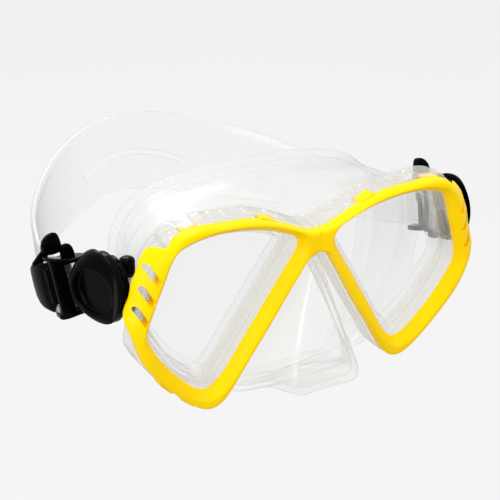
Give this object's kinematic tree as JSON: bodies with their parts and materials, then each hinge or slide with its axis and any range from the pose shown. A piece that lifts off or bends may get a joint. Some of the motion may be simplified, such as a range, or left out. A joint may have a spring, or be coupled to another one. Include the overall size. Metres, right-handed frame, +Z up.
{
  "type": "snorkel mask",
  "caption": "Junior twin-lens diving mask: yellow bezel on a clear frame, clear silicone skirt with nose pocket, and a split silicone head strap on black swivel buckles.",
  "frame": {"origin": "middle of the seal that meets the face, on the symmetry plane, level with the middle of the lenses", "axes": "+Z up, +Y towards the wearer's face, lenses face -Y, wearer's right is -X; the head strap swings about X"},
  "size_m": [0.1774, 0.1579, 0.0779],
  "materials": {
    "clear_silicone": "clear liquid silicone rubber, satin to glossy",
    "clear_plastic": "clear polycarbonate, polished",
    "yellow_plastic": "bright yellow moulded plastic, glossy",
    "lens_glass": "clear tempered glass",
    "black_plastic": "black acetal, semi-gloss",
    "grey_washer": "natural nylon washer",
    "steel_pin": "stainless steel pin",
    "spring_steel": "stainless spring wire"
  },
  "bodies": {
    "mask": {"skirt": "clear_silicone", "inner_frame": "clear_plastic", "front_bezel": "yellow_plastic", "lens_left": "lens_glass", "lens_right": "lens_glass", "hinge_pin_right": "black_plastic", "hinge_pin_left": "black_plastic", "buckle_arm_right": "black_plastic", "buckle_arm_left": "black_plastic", "swivel_washer_right": "grey_washer", "swivel_washer_left": "grey_washer", "swivel_cap_right": "black_plastic", "swivel_cap_left": "black_plastic"},
    "head_strap": {"strap": "clear_silicone", "buckle_frame_right": "black_plastic", "buckle_frame_left": "black_plastic", "roller_pin_right": "steel_pin", "roller_pin_left": "steel_pin", "lever_pin_right": "steel_pin", "lever_pin_left": "steel_pin"},
    "roller_right": {"strap_roller_right": "black_plastic"},
    "lever_right": {"release_lever_right": "black_plastic", "lever_spring_right": "spring_steel"},
    "roller_left": {"strap_roller_left": "black_plastic"},
    "lever_left": {"release_lever_left": "black_plastic", "lever_spring_left": "spring_steel"}
  },
  "joints": [
    {"name": "strap_swing", "type": "hinge", "parent": "mask", "child": "head_strap", "pos_m": [0, -0.024, 0.012], "axis": [1, 0, 0], "range_deg": [-60, 60]},
    {"name": "roller_spin_right", "type": "hinge", "parent": "head_strap", "child": "roller_right", "pos_m": [-0.0773, -0.005, 0.007], "axis": [-0.1045, 0.2574, 0.9606], "continuous": true},
    {"name": "lever_lift_right", "type": "hinge", "parent": "head_strap", "child": "lever_right", "pos_m": [-0.08357, -0.00565, 0.00649], "axis": [-0.1045, 0.2574, 0.9606], "range_deg": [0, 28], "stiffness_Nm_per_rad": 0.02, "springref_deg": -20.05, "deforming": ["lever_spring_right"]},
    {"name": "roller_spin_left", "type": "hinge", "parent": "head_strap", "child": "roller_left", "pos_m": [0.0773, -0.005, 0.007], "axis": [0.1045, 0.2574, 0.9606], "continuous": true},
    {"name": "lever_lift_left", "type": "hinge", "parent": "head_strap", "child": "lever_left", "pos_m": [0.08357, -0.00565, 0.00649], "axis": [-0.1045, -0.2574, -0.9606], "range_deg": [0, 28], "stiffness_Nm_per_rad": 0.02, "springref_deg": -20.05, "deforming": ["lever_spring_left"]}
  ]
}
